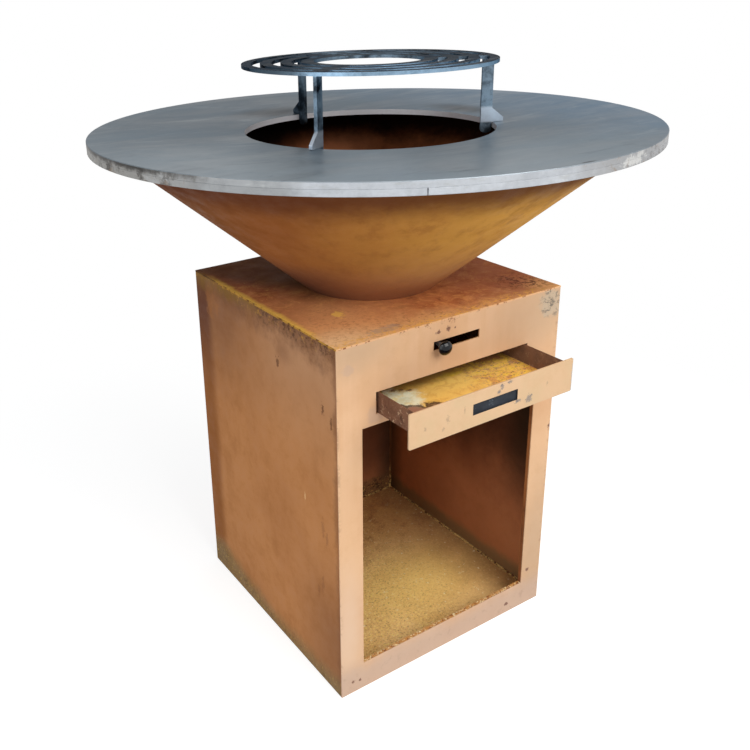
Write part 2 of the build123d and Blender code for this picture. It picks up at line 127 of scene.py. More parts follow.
class Look:
    """One material's nodes, with short calls for what the finishes below are made of."""

    TORN = (6.0, 0.7)  # detail and roughness of the noise that tears an edge
    CLUSTERED = (6.0, 0.75)  # the same for flecks
    SPOT_EDGE = (1.1, 0.6)  # where a spot ends and where it is full, as shares of its size
    GLOW_EDGE = (1.2, 0.1)  # the same for a glow

    def __init__(self, name):
        self.material = bpy.data.materials.new(name)
        self.tree = empty_tree(self.material)
        self.shader = self.add("ShaderNodeBsdfPrincipled", {})
        self.add("ShaderNodeOutputMaterial", {"Surface": self.shader.outputs["BSDF"]})
        coordinates = self.add("ShaderNodeTexCoord", {})
        self.place = coordinates.outputs["Object"]
        self.x, self.y, self.z = self.split(self.place)
        self.facing_x, self.facing_y, self.facing_z = self.split(coordinates.outputs["Normal"])
        self.noises = {}

    def add(self, kind, inputs):
        """A new node of this material."""
        return add_node(self.tree, kind, inputs)

    def split(self, vector):
        """The three parts of a vector."""
        return tuple(self.add("ShaderNodeSeparateXYZ", {0: vector}).outputs)

    def math(self, operation, first, second=0.0):
        """One sum with plain values."""
        node = self.add("ShaderNodeMath", {0: first, 1: second})
        node.operation = operation
        return node.outputs[0]

    def vector(self, operation, first, second):
        """One sum with vectors that gives a vector."""
        node = self.add("ShaderNodeVectorMath", {0: first, 1: second})
        node.operation = operation
        return node.outputs["Vector"]

    def length(self, vector):
        """How long a vector is."""
        node = self.add("ShaderNodeVectorMath", {0: vector})
        node.operation = "LENGTH"
        return node.outputs["Value"]

    def noise(self, scale, detail=4.0, roughness=0.55, stretch=(1.0, 1.0, 1.0), turn=0.0, warp=0.0):
        """Noise from 0 to 1, scale features to the metre. Stretch and turn act on the coordinates."""
        key = (scale, detail, roughness, stretch, turn, warp)
        if key not in self.noises:
            turned = {"Vector": self.place, "Rotation": (0.0, 0.0, turn), "Scale": stretch}
            grain = {"Scale": scale, "Detail": detail, "Roughness": roughness, "Distortion": warp}
            grain["Vector"] = self.add("ShaderNodeMapping", turned).outputs[0]
            self.noises[key] = self.add("ShaderNodeTexNoise", grain).outputs[0]
        return self.noises[key]

    def ramp(self, value, start, end, low=0.0, high=1.0):
        """Low up to start, high from end on, and smooth between them."""
        limits = {"From Min": start, "From Max": end, "To Min": low, "To Max": high}
        node = self.add("ShaderNodeMapRange", {"Value": value, **limits})
        node.interpolation_type = "SMOOTHSTEP"
        return node.outputs[0]

    def mix(self, share, below, above):
        """A colour between two, closer to the one above as the share grows."""
        node = self.add("ShaderNodeMix", {0: share, 6: linear(below), 7: linear(above)})
        node.data_type = "RGBA"
        return node.outputs[2]

    def both(self, *masks):
        """Where all the masks meet."""
        result = masks[0]
        for mask in masks[1:]:
            result = self.math("MULTIPLY", result, mask)
        return result

    def slant(self, x_share, y_share):
        """How far a place lies along a level direction that is no axis."""
        across = self.math("MULTIPLY", self.x, x_share)
        return self.math("ADD", across, self.math("MULTIPLY", self.y, y_share))

    def apart(self, centre, size):
        """How far a place lies from a centre, as a share of a size along each axis."""
        return self.length(self.vector("DIVIDE", self.vector("SUBTRACT", self.place, centre), size))

    def ragged(self, value, amount, scale):
        """A value with noise added, so that what is drawn from it has a torn edge."""
        wave = self.math("SUBTRACT", self.noise(scale, *self.TORN), 0.5)
        return self.math("ADD", value, self.math("MULTIPLY", wave, 2 * amount))

    def fringe(self, value, edge, inner, amount, scale):
        """A stain that is full at an edge and fades out unevenly at its inner limit."""
        return self.ramp(self.ragged(value, amount, scale), inner, edge)

    def spot(self, centre, size, amount=1.2):
        """A patch with a torn outline, finer on small patches. Size is half its extent along each axis."""
        scale = 2.0 ** round(math.log2(0.8 / min(size)))
        return self.ramp(self.ragged(self.apart(centre, size), amount, scale), *self.SPOT_EDGE)

    def glow(self, centre, size):
        """A patch that fades out softly from its middle."""
        return self.ramp(self.ragged(self.apart(centre, size), 0.4, 8.0), *self.GLOW_EDGE)

    def flecks(self, scale, least, soft=0.06):
        """Torn flecks in clusters: the lower least is, the more of them."""
        return self.ramp(self.noise(scale, *self.CLUSTERED), least, least + soft)

    def coat(self, share, below, above):
        """A coat whose ground is a mix of two colours."""
        return Coat(self, self.mix(share, below, above))

    def relief(self, height, depth, strength):
        """Bump of a depth in metres."""
        bump = self.add("ShaderNodeBump", {"Strength": strength, "Distance": depth, "Height": height})
        plug(self.tree, self.shader.inputs["Normal"], bump.outputs[0])

    def surface(self, coat, roughness, metallic=0.0, specular=0.5, edge=(1.0, 1.0, 1.0)):
        """Fill in the shader and give its material. Edge tints a metal where it is seen at a low angle."""
        sockets = self.shader.inputs
        plug(self.tree, sockets["Base Color"], coat.top)
        plug(self.tree, sockets["Roughness"], roughness)
        plug(self.tree, sockets["Metallic"], metallic)
        plug(self.tree, sockets["Specular IOR Level"], specular)
        plug(self.tree, sockets["Specular Tint"], (*edge, 1.0))
        return self.material


class Coat:
    """A colour that is built up by laying stains on a ground."""

    def __init__(self, look, ground):
        self.look = look
        self.top = ground

    def stain(self, colour, mask, strength=1.0):
        """Lay a colour where a mask shows it."""
        share = mask if strength == 1.0 else self.look.math("MULTIPLY", mask, strength)
        self.top = self.look.mix(share, self.top, colour)

    def strew(self, colour, mask, flecks, strength):
        """Lay flecks of a colour where a mask shows them; flecks holds what Look.flecks takes."""
        self.stain(colour, self.look.both(mask, self.look.flecks(*flecks)), strength)


def rust(look, pale, middle, deep, contrast=1.0):
    """Rust patina: broad clouds of two tones, finer mottling and a fine grain of the deepest one."""
    clouds = look.noise(4.5, 3.0)
    coat = look.coat(look.ramp(clouds, 0.36, 0.64), pale, middle)
    coat.stain(deep, look.ramp(look.noise(*MOTTLE), 0.44, 0.74), 0.6 * contrast)
    coat.stain(deep, look.ramp(look.noise(*GRAIN), 0.5, 0.75), 0.4 * contrast)
    return coat


def rusted(look, coat, smooth, coarse, specular=0.25):
    """Close a rust finish: uneven roughness and a fine pitted relief."""
    mottle = look.noise(*MOTTLE)
    height = look.math("ADD", look.math("MULTIPLY", mottle, 0.5), look.noise(*GRAIN))
    look.relief(height, depth=0.0005, strength=0.45)
    return look.surface(coat, look.ramp(mottle, 0.3, 0.7, smooth, coarse), specular=specular)


def store_wall_coat(look):
    """Inside of the wood store: red-brown, with painted shade at the top, in the rear corners and behind the
    front, dirty along the floor.
    """
    coat = rust(look, (188, 114, 73), (167, 98, 62), (122, 70, 45), 0.6)
    # painted shade: darker towards the top, under the deck
    deck_shade = look.fringe(look.z, DECK_UNDERSIDE - 0.2, DECK_UNDERSIDE - 0.42, 0.08, 5.0)
    coat.stain((62, 33, 21), deck_shade, 0.85)
    lower = look.fringe(look.z, STORE_FLOOR, STORE_FLOOR + 0.3, 0.06, 8.0)
    coat.stain((210, 142, 96), lower, 0.55)
    dirt = look.fringe(look.z, STORE_FLOOR + 0.02, STORE_FLOOR + 0.05, 0.02, 10.0)
    coat.stain((142, 116, 80), dirt, 0.85)
    coat.strew((176, 140, 90), dirt, (120.0, 0.58, 0.12), 0.6)
    # painted shade in the rear corners of the store
    for side in (INNER_LEFT, INNER_RIGHT):
        corner = look.glow((side, INNER_REAR, DECK_UNDERSIDE), (0.05, 0.05, 2.0))
        coat.stain((70, 56, 36), corner, 0.8)
    # painted shadow of the front jamb on the walls just behind the front
    shaded = look.fringe(look.y, LIP_REAR + 0.05, LIP_REAR + 0.13, 0.02, 8.0)
    shaded = look.both(shaded, look.ramp(look.z, 0.1, 0.4))
    coat.stain((48, 34, 22), shaded, 0.85)
    return coat


def front_finish():
    """Front sheet: pale peach patina, hazy, worn at its edges, with a few old marks and a rusty lip."""
    look = Look("front_patina")
    coat = rust(look, (220, 178, 138), (213, 168, 128), (194, 147, 108), 0.4)
    drips = look.ramp(look.noise(22.0, 4.0, 0.6, (1.0, 1.0, 0.06)), 0.46, 0.7)
    coat.stain((226, 187, 151), drips, 0.45)
    front_hazes(look, coat)
    front_wear(look, coat)
    front_marks(look, coat)
    front_lip(look, coat)
    return rusted(look, coat, 0.5, 0.75)


def front_hazes(look, coat):
    """Three dull hazes, a bleached streak low on the left, and a greyer foot with grime on it."""
    for along, height, width, tall in (
        (0.2, 0.66, 0.16, 0.08),
        (0.23, 0.14, 0.06, 0.22),
        (-0.22, 0.68, 0.1, 0.05),
    ):
        haze = look.glow((along, FRONT, height), (width, 0.06, tall))
        coat.stain((194, 162, 131), haze, 0.75)
    bleached = look.glow((-0.235, FRONT, 0.14), (0.05, 0.06, 0.16))
    coat.stain((222, 190, 162), bleached, 0.8)
    foot = look.fringe(look.z, 0.03, 0.085, 0.03, 12.0)
    coat.stain((196, 168, 149), foot, 0.8)
    coat.strew((176, 146, 126), foot, (48.0, 0.54, 0.12), 0.45)


def front_wear(look, coat):
    """Chips under the top's seam, worn upright edges, and a scuffed grey patch at the top right."""
    upper = look.fringe(look.z, TOP_SEAM, TOP_SEAM - 0.01, 0.012, 70.0)
    knocked = look.glow((-0.04, FRONT, TOP_SEAM), (0.1, 0.06, 0.06))
    coat.strew((140, 88, 56), look.both(upper, knocked), (90.0, 0.56), 0.85)
    for edge, inner in ((LEFT, LEFT + 0.008), (RIGHT, RIGHT - 0.008)):
        worn = look.fringe(look.x, edge, inner, 0.01, 60.0)
        coat.strew((164, 124, 96), worn, (30.0, 0.5, 0.1), 0.55)
    rubbed = look.spot((RIGHT - 0.024, FRONT, TOP - 0.027), (0.032, 0.05, 0.03), 0.9)
    coat.stain((186, 170, 148), rubbed, 0.7)
    scuffs = look.ramp(look.noise(120.0, 6.0, 0.75, (0.6, 1.0, 1.0), 0.0, 0.8), 0.49, 0.58)
    coat.stain((104, 96, 86), look.both(rubbed, scuffs), 0.8)


def front_marks(look, coat):
    """Small dark marks near the slot, the foot and the right edge, and two faint smudges."""
    for along, height, width, tall in (
        (-0.042, 0.6735, 0.0055, 0.004),
        (-0.02, 0.6755, 0.0045, 0.005),
        (-0.005, 0.674, 0.002, 0.002),
        (-0.225, 0.024, 0.004, 0.0035),
        (-0.209, 0.021, 0.0035, 0.003),
        (0.16, 0.0205, 0.0045, 0.0045),
        (0.215, 0.083, 0.0045, 0.0045),
        (0.2455, 0.407, 0.0035, 0.004),
    ):
        mark = look.spot((along, FRONT, height), (width, MARK_DEPTH, tall), 2.2)
        coat.stain((118, 80, 66), mark, 0.9)
    for along, height, width, tall in ((-0.174, 0.556, 0.02, 0.018), (-0.228, 0.653, 0.014, 0.009)):
        smudge = look.spot((along, FRONT, height), (width, MARK_DEPTH, tall))
        coat.stain((186, 158, 142), smudge, 0.35)


def front_lip(look, coat):
    """Rust on the lip that is folded in from the front, with golden grains lying on its sill."""
    lip = look.ramp(look.y, FRONT + 0.0012, FRONT + 0.0026)
    bare = rust(look, (168, 104, 58), (138, 82, 46), (88, 50, 30))
    coat.stain(bare, lip)
    sill = look.both(lip, look.ramp(look.facing_z, 0.4, 0.8))
    coat.strew((214, 152, 84), sill, (110.0, 0.42, 0.1), 0.8)
    coat.strew((255, 232, 178), sill, (230.0, 0.52), 0.9)


def side_finish(name, outward):
    """Side sheet: brown patina, stained along its edges; its inner face is a store wall."""
    look = Look(name)
    coat = rust(look, (191, 130, 79), (181, 121, 72), (146, 93, 54), 0.45)
    side_tones(look, coat, outward)
    side_upper_edge(look, coat)
    near = look.fringe(look.y, FRONT, FRONT + 0.02, 0.025, 18.0)
    coat.stain((116, 76, 50), near, 0.6)
    side_foot(look, coat)
    side_marks(look, coat, outward)
    inward = look.math("MULTIPLY", look.facing_x, -1.0 if outward > 0 else 1.0)
    coat.stain(store_wall_coat(look), look.ramp(inward, 0.3, 0.7))
    return rusted(look, coat, 0.6, 0.85, 0.12)


def side_tones(look, coat, outward):
    """Paler high up at the front and darker at the rear, trodden low at the front, dark along the rear."""
    fresh = look.both(look.fringe(look.z, TOP, 0.4, 0.1, 4.0), look.ramp(look.y, 0.12, -0.12))
    coat.stain((190, 144, 108), fresh, 0.75)
    old = look.both(look.fringe(look.z, TOP - 0.05, 0.4, 0.1, 4.0), look.ramp(look.y, -0.1, 0.15))
    coat.stain((128, 86, 60), old, 0.75)
    band = look.fringe(look.y, REAR - 0.035, REAR - 0.07, 0.012, 9.0)
    brown = look.mix(look.ramp(look.z, 0.42, 0.64), (140, 84, 40), (92, 52, 38))
    coat.stain(brown, band, 0.85)
    trodden = look.both(look.fringe(look.z, 0.1, 0.34, 0.05, 8.0), look.ramp(look.y, -0.06, FRONT))
    coat.stain((138, 92, 60), trodden, 0.75)
    orange = look.spot((outward, 0.18, 0.66), (0.05, 0.03, 0.05))
    coat.stain((168, 108, 60), orange, 0.6)


def side_upper_edge(look, coat):
    """Dark, dripping upper edge: black specks towards the front, mustard towards the rear, gold all along."""
    drips = look.ramp(look.noise(36.0, 5.0, 0.65, (1.0, 1.0, 0.1)), 0.5, 0.7)
    high = look.fringe(look.z, TOP, TOP - 0.07, 0.06, 22.0)
    coat.stain((116, 76, 50), high, 0.8)
    forward = look.fringe(look.y, -0.04, 0.06, 0.06, 12.0)
    specked = look.fringe(look.z, TOP, TOP - 0.045, 0.04, 22.0)
    specked = look.both(specked, look.ramp(forward, 0.0, 1.0, 0.2, 1.0))
    coat.strew((72, 47, 32), specked, (130.0, 0.5), 0.8)
    mustard = look.fringe(look.z, TOP, TOP - 0.035, 0.025, 26.0)
    mustard = look.both(mustard, look.ramp(forward, 1.0, 0.0))
    coat.stain((134, 98, 44), mustard, 0.8)
    gilded = look.fringe(look.z, TOP, TOP - 0.03, 0.03, 30.0)
    coat.strew((196, 146, 58), gilded, (80.0, 0.56), 0.8)
    coat.stain((140, 92, 58), look.both(drips, high), 0.7)


def side_foot(look, coat):
    """Grey-green dirt at the foot, higher towards the rear, with dark and golden specks in it."""
    above = look.math("SUBTRACT", look.z, look.ramp(look.y, -0.05, REAR, 0.0, 0.04))
    dirt = look.fringe(above, 0.0, 0.05, 0.025, 14.0)
    coat.stain((132, 112, 76), dirt, 0.75)
    coat.strew((74, 56, 36), dirt, (90.0, 0.52, 0.1), 0.4)
    coat.strew((206, 168, 90), dirt, (160.0, 0.56), 0.8)


def side_marks(look, coat, outward):
    """Dark marks, a soft smudge, thin scrapes and one painted glint."""
    flip = 1.0 if outward < 0 else -1.0
    for along, height, long, tall in (
        (-0.066, 0.608, 0.006, 0.01),
        (-0.232, 0.556, 0.003, 0.012),
        (-0.208, 0.574, 0.004, 0.009),
    ):
        mark = look.spot((outward, flip * along, height), (MARK_DEPTH, long, tall), 2.8)
        coat.stain((92, 56, 36), mark, 0.7)
    smudge = look.glow((outward, flip * -0.085, 0.635), (0.03, 0.034, 0.03))
    coat.stain((128, 84, 56), smudge, 0.45)
    for along, height, long, tall in (
        (-0.2, 0.338, 0.005, 0.018),
        (-0.212, 0.322, 0.004, 0.014),
        (-0.196, 0.216, 0.005, 0.02),
        (-0.182, 0.196, 0.004, 0.014),
    ):
        scrape = look.spot((outward, flip * along, height), (MARK_DEPTH, long, tall), 2.2)
        coat.stain((128, 84, 56), scrape, 0.35)
    # a painted glint: one small bright spot, at the same place on both sides
    painted_glint = look.spot((outward, -0.144, 0.375), (MARK_DEPTH, 0.0025, 0.009))
    coat.stain((222, 176, 124), painted_glint, 0.8)


def back_finish():
    """Rear sheet: brown patina, with stains that run down from the top; its inner face is a store wall."""
    look = Look("back_patina")
    coat = rust(look, (200, 138, 90), (184, 120, 74), (142, 86, 52), 0.6)
    runs = look.ramp(look.noise(34.0, 5.0, 0.65, (1.0, 1.0, 0.06)), 0.48, 0.7)
    runs = look.both(runs, look.ramp(look.z, 0.15, TOP))
    coat.stain((126, 78, 48), runs, 0.7)
    high = look.fringe(look.z, TOP, TOP - 0.06, 0.06, 22.0)
    coat.stain((112, 72, 46), high, 0.8)
    coat.strew((70, 44, 30), high, (110.0, 0.52), 0.8)
    dirt = look.fringe(look.z, 0.0, 0.05, 0.04, 20.0)
    coat.stain((112, 94, 66), dirt, 0.8)
    back_store_wall(look, coat)
    return rusted(look, coat, 0.6, 0.9)


def back_store_wall(look, coat):
    """The rear sheet's inner face: the darkest store wall, darkened with painted shade, with a low heap of
    rust flakes along the floor.
    """
    inside = look.ramp(look.facing_y, -0.3, -0.7)
    coat.stain(store_wall_coat(look), inside)
    # painted shade over the rear wall of the store, deepest in its recess
    dark = look.both(inside, look.ramp(look.z, 0.02, 0.14))
    coat.stain((66, 35, 24), dark, 0.6)
    heap = look.fringe(look.z, STORE_FLOOR + 0.02, STORE_FLOOR + 0.055, 0.035, 24.0)
    heap = look.both(inside, heap)
    coat.stain((150, 106, 66), heap, 0.9)
    coat.strew((66, 42, 28), heap, (70.0, 0.5), 0.8)
    coat.strew((255, 210, 120), heap, (190.0, 0.56), 0.85)


def top_finish():
    """Cabinet top: red-brown rust, paler at its front left and along its front, partly painted light, painted
    shadow left of the bowl.
    """
    look = Look("top_patina")
    coat = top_rust(look)
    # painted light: a broad paler glow over the front left of the top, where light reaches under the griddle
    corner = look.glow((-0.19, -0.17, TOP), (0.17, 0.18, 0.2))
    coat.stain((240, 176, 118), corner, 0.85)
    # a paler strip along the front: partly the sheet's own colour, partly painted light
    inward = look.math("ADD", look.y, look.ramp(look.x, -0.1, 0.08, 0.0, 0.026))
    front_edge = look.fringe(inward, FRONT, FRONT + 0.09, 0.06, 14.0)
    coat.stain((236, 184, 126), front_edge, 0.8)
    coat.strew((150, 88, 52), front_edge, (110.0, 0.54), 0.7)
    top_left_side(look, coat)
    bleached = look.glow((LEFT + 0.03, FRONT + 0.025, TOP), (0.09, 0.055, 0.1))
    coat.stain((246, 206, 156), bleached, 0.75)
    crumbs = look.math("MAXIMUM", corner, bleached)
    coat.strew((184, 118, 72), crumbs, (140.0, 0.5, 0.1), 0.45)
    top_marks(look, coat)
    top_cut_edges(look, coat)
    return rusted(look, coat, 0.65, 0.9, 0.08)


def top_rust(look):
    """The top's ground: swirled rust with golden dust, duller and darker towards the right with a painted
    shadow.
    """
    coat = rust(look, (204, 128, 78), (186, 108, 64), (132, 72, 44))
    swirl = look.noise(34.0, 8.0, 0.72, warp=0.6)
    coat.stain((226, 158, 92), look.ramp(swirl, 0.48, 0.64), 0.7)
    coat.stain((122, 66, 44), look.ramp(swirl, 0.44, 0.32), 0.6)
    dusty = look.ramp(look.noise(9.0), 0.4, 0.6)
    coat.strew((226, 170, 96), dusty, (150.0, 0.58), 0.75)
    # painted shadow over the right of the top
    shadow = look.fringe(look.x, 0.2, 0.04, 0.05, 10.0)
    coat.stain((148, 94, 70), shadow, 0.65)
    return coat


def top_left_side(look, coat):
    """A painted dark brown shadow between the bowl and the left edge, and a bright mustard line along that
    edge.
    """
    # painted shadow of the bowl, darkest close to it and towards the rear
    shade = look.fringe(look.slant(1.0, 0.6), -0.09, -0.215, 0.03, 9.0)
    shade = look.both(shade, look.ramp(look.y, -0.09, -0.01), look.ramp(look.x, 0.05, -0.1))
    coat.stain((86, 52, 28), shade, 0.88)
    along = look.fringe(look.y, 0.12, 0.23, 0.05, 20.0)
    along = look.both(along, look.ramp(look.y, FRONT + 0.02, FRONT + 0.1))
    mustard = look.both(look.fringe(look.x, LEFT + 0.002, LEFT + 0.015, 0.01, 34.0), along)
    coat.stain((255, 210, 96), mustard, 0.9)


def top_marks(look, coat):
    """A yellow patch, a bare grey one, gilt crumbs along the front, and pits in the tan right corner."""
    yellow = look.spot((-0.16, -0.126, TOP), (0.011, 0.015, 0.02), 2.6)
    coat.stain((255, 206, 104), yellow, 0.9)
    bare = look.spot((-0.136, -0.228, TOP), (0.04, 0.014, 0.03))
    coat.stain((178, 150, 130), bare, 0.6)
    front_line = look.fringe(look.y, FRONT, FRONT + 0.04, 0.02, 30.0)
    coat.strew((244, 188, 84), front_line, (120.0, 0.49, 0.1), 0.85)
    tan = look.glow((RIGHT - 0.01, FRONT + 0.02, TOP), (0.06, 0.05, 0.1))
    coat.stain((206, 156, 104), tan, 0.8)
    pitted = look.glow((0.212, -0.19, TOP), (0.065, 0.065, 0.1))
    coat.strew((62, 34, 26), pitted, (120.0, 0.49, 0.08), 0.9)


def top_cut_edges(look, coat):
    """The sheet's own edges: chipped at the front, and rubbed at the sides, where the rear end is dark."""
    edge_front = look.ramp(look.facing_y, -0.3, -0.7)
    chipped = look.mix(look.flecks(90.0, 0.55), (222, 176, 132), (146, 92, 58))
    coat.stain(chipped, edge_front)
    edge_side = look.ramp(look.math("ABSOLUTE", look.facing_x), 0.3, 0.7)
    rubbed = look.coat(look.flecks(70.0, 0.5), (192, 142, 62), (112, 72, 42))
    rubbed.stain((74, 50, 32), look.ramp(look.y, 0.13, 0.19), 0.85)
    coat.stain(rubbed, edge_side)


def bowl_finish():
    """Fire bowl: orange-brown outside, sooty inside, with painted shade on both and painted light inside."""
    look = Look("bowl_patina")
    outward_x = look.both(look.x, look.facing_x)
    outward_y = look.both(look.y, look.facing_y)
    within = look.ramp(look.math("ADD", outward_x, outward_y), 0.02, -0.02)
    coat = bowl_outside(look)
    coat.stain(bowl_inside(look), within)
    return rusted(look, coat, 0.6, 0.9, 0.1)


def bowl_outside(look):
    """Orange-brown, golden towards the right, with painted shade at the left, below the griddle and at the
    left of its foot, dusty at its foot.
    """
    coat = rust(look, (154, 92, 42), (143, 83, 37), (110, 61, 28), 0.5)
    aside = look.slant(0.8, -0.6)
    golden = look.fringe(aside, 0.3, -0.17, 0.06, 7.0)
    coat.stain((210, 156, 72), golden)
    dull = look.ramp(look.noise(11.0, 6.0, 0.7), 0.48, 0.64)
    coat.stain((168, 108, 48), look.both(golden, dull), 0.4)
    drips = look.ramp(look.noise(26.0, 6.0, 0.7, (1.0, 1.0, 0.14)), 0.46, 0.7)
    coat.stain((120, 68, 30), drips, 0.35)
    # painted shade on the far left of the bowl, the side turned from the light
    turned = look.fringe(aside, -0.32, -0.14, 0.04, 7.0)
    coat.stain((112, 66, 27), turned, 0.75)
    # painted shade below the griddle
    shade = look.fringe(look.z, BOWL_RIM - 0.032, BOWL_RIM - 0.092, 0.022, 8.0)
    coat.stain((90, 45, 22), shade, 0.9)
    foot = look.fringe(look.z, BOWL_FOOT, BOWL_FOOT + 0.11, 0.025, 12.0)
    coat.stain((148, 104, 84), foot, 0.75)
    # painted shadow at the left of the bowl's foot
    dark_foot = look.both(foot, look.ramp(aside, 0.02, -0.14))
    coat.stain((76, 42, 26), dark_foot, 0.8)
    chalky = look.fringe(look.z, BOWL_FOOT + 0.06, BOWL_FOOT + 0.17, 0.03, 10.0)
    coat.stain((186, 140, 104), look.both(golden, chalky), 0.45)
    coat.stain((206, 160, 106), look.flecks(260.0, 0.68), 0.5)
    return coat


def bowl_inside(look):
    """Rust with a painted pool of light at the far right, and soot with painted shade along the rim and at
    the far side.
    """
    soot_and_shade = (22, 15, 13)
    coat = rust(look, (168, 98, 58), (144, 82, 48), (88, 50, 32))
    # painted light: a pool of light through the bore on the far right wall
    light_pool = look.glow((0.15, 0.34, BOWL_RIM - 0.1), (0.12, 0.1, 0.08))
    coat.stain((226, 144, 98), light_pool, 0.65)
    # soot with painted shade below the griddle, along the rim
    rim = look.fringe(look.z, BOWL_RIM - 0.055, BOWL_RIM - 0.1, 0.03, 9.0)
    coat.stain(soot_and_shade, rim, 0.95)
    # soot with painted shade on the far side
    far = look.glow((-0.02, 0.4, BOWL_RIM - 0.07), (0.13, 0.12, 0.09))
    coat.stain(soot_and_shade, far, 0.95)
    return coat


def floor_finish():
    """Store floor: golden rust dust, coarse and speckled, redder to the back and darker there, damp with
    painted shade, and duller at the right.
    """
    look = Look("store_floor_dust")
    coat = rust(look, (244, 198, 132), (230, 182, 110), (180, 130, 72), 0.7)
    # darker towards the back: damp, and painted shade deep in the store
    damp = look.fringe(look.y, 0.2, -0.1, 0.2, 7.0)
    coat.stain((216, 154, 92), damp, 0.75)
    golden = look.glow((0.05, -0.07, STORE_FLOOR), (0.2, 0.12, 0.2))
    coat.stain((255, 212, 124), golden, 0.8)
    red = look.ramp(look.noise(28.0, 7.0, 0.72), 0.46, 0.64)
    red = look.both(red, look.ramp(look.y, -0.02, 0.12))
    coat.stain((164, 100, 56), red, 0.5)
    swept = look.fringe(look.x, INNER_RIGHT, INNER_RIGHT - 0.1, 0.08, 9.0)
    coat.stain((180, 136, 92), swept, 0.5)
    crumbs = look.noise(260.0, 6.0, 0.75)
    grit = look.ramp(look.ragged(look.x, 0.06, 9.0), 0.2, -0.06, 0.35, 1.0)
    dark_grit = look.both(grit, look.ramp(crumbs, 0.46, 0.37))
    coat.stain((126, 90, 42), dark_grit, 0.7)
    coat.strew((255, 230, 150), grit, (260.0, 0.54, 0.08), 0.85)
    coat.stain((255, 240, 190), look.flecks(120.0, 0.6), 0.8)
    coarse = look.ramp(look.x, 0.16, -0.06)
    coat.strew((255, 226, 120), coarse, (170.0, 0.57), 0.7)
    look.relief(crumbs, depth=0.0016, strength=0.7)
    return look.surface(coat, look.ramp(look.noise(60.0), 0.3, 0.7, 0.8, 0.98), specular=0.15)


def tray_finish():
    """Ash tray: a rusty bed with ashes on it, brown walls, and slate-grey steel at its front."""
    look = Look("tray_patina")
    coat = tray_bed(look)
    tray_pale_patch(look, coat)
    tray_shore(look, coat)
    tray_walls(look, coat)
    slate = look.coat(look.ramp(look.noise(24.0, 5.0), 0.4, 0.65), (31, 35, 42), (42, 47, 55))
    slate.stain((104, 116, 128), look.flecks(40.0, 0.62), 0.6)
    coat.stain(slate, look.ramp(look.facing_y, -0.6, -0.9))
    return rusted(look, coat, 0.5, 0.85)


def tray_bed(look):
    """The tray's floor: mustard, olive at the left, dusty with painted shade and then ashen to the back,
    burnt at the right.
    """
    coat = rust(look, (255, 208, 110), (250, 192, 90), (218, 154, 72), 0.5)
    olive = look.both(look.fringe(look.y, -0.15, -0.24, 0.06, 16.0), look.ramp(look.x, 0.1, -0.05))
    coat.stain((228, 190, 60), olive, 0.7)
    crust = look.ramp(look.noise(48.0, 7.0, 0.72, warp=0.6), 0.5, 0.6)
    coat.stain((226, 164, 76), crust, 0.5)
    bright = look.spot((0.036, -0.208, TRAY_BASE), (0.04, 0.012, 0.03), 1.4)
    coat.stain((255, 214, 70), bright, 0.7)
    # dust with painted shade under the fascia, at the back of the tray
    dusty = look.fringe(look.y, -0.19, -0.23, 0.025, 40.0)
    coat.stain((140, 92, 46), dusty, 0.75)
    ashes = look.fringe(look.y, -0.08, -0.15, 0.04, 20.0)
    coat.stain((66, 54, 46), ashes, 0.85)
    burnt = look.both(look.fringe(look.x, 0.08, 0.01, 0.1, 14.0), look.ramp(ashes, 0.8, 0.2))
    coat.strew((214, 142, 86), burnt, (40.0, 0.48, 0.1), 0.7)
    coat.strew((176, 124, 106), burnt, (76.0, 0.53, 0.1), 0.8)
    coat.strew((255, 210, 78), burnt, (104.0, 0.5, 0.1), 0.9)
    coat.strew((96, 62, 52), burnt, (190.0, 0.56), 0.8)
    # more dust and painted shade at the right
    dust_and_shade_right = look.both(dusty, look.ramp(look.x, -0.02, 0.1))
    coat.stain((118, 74, 42), dust_and_shade_right, 0.6)
    return coat


def tray_pale_patch(look, coat):
    """A cream patch at the front left, speckled and damp in its middle, with three brown crumbs behind it."""
    pale = look.spot((-0.12, -0.24, TRAY_BASE), (0.052, 0.05, 0.05), 1.3)
    cloudy = look.ramp(look.noise(70.0, 6.0, 0.7), 0.42, 0.6)
    coat.stain(look.mix(cloudy, (255, 250, 218), (246, 226, 166)), pale, 0.9)
    coat.strew((150, 116, 76), pale, (130.0, 0.62), 0.7)
    damp = look.spot((-0.113, -0.242, TRAY_BASE), (0.026, 0.013, 0.03))
    coat.stain((214, 214, 186), damp, 0.4)
    for along, across in ((-0.1, -0.201), (-0.086, -0.207), (-0.075, -0.216)):
        crumb = look.spot((along, across, TRAY_BASE), (0.007, 0.004, 0.03), 1.8)
        coat.stain((128, 80, 48), crumb, 0.8)


def tray_shore(look, coat):
    """A red-brown stain across the front left corner, with a dark tide line along it."""
    shore = look.ragged(look.slant(0.56, 1.0), 0.04, 40.0)
    coat.stain((170, 122, 98), look.ramp(shore, -0.325, -0.339))
    tide = look.both(look.ramp(shore, -0.317, -0.326), look.ramp(shore, -0.339, -0.329))
    coat.stain((76, 50, 38), tide, 0.9)


def tray_walls(look, coat):
    """Brown, speckled walls; the face of the right one, which the light reaches, is paler."""
    wall = rust(look, (124, 85, 63), (102, 69, 51), (68, 44, 34))
    wall.stain((60, 38, 30), look.flecks(38.0, 0.53, 0.1), 0.7)
    wall.stain((158, 118, 96), look.flecks(80.0, 0.56, 0.1), 0.6)
    chalky = look.ramp(look.noise(24.0), 0.42, 0.6)
    wall.strew((204, 172, 138), chalky, (90.0, 0.56), 0.7)
    standing = look.ramp(look.math("ABSOLUTE", look.facing_z), 0.7, 0.3)
    above_floor = look.ramp(look.z, TRAY_BASE + 0.004, TRAY_BASE + 0.008)
    coat.stain(wall, look.math("MAXIMUM", standing, above_floor))
    right = look.both(look.ramp(look.facing_x, -0.3, -0.7), look.ramp(look.x, 0.0, 0.1))
    coat.stain((150, 118, 98), right, 0.45)


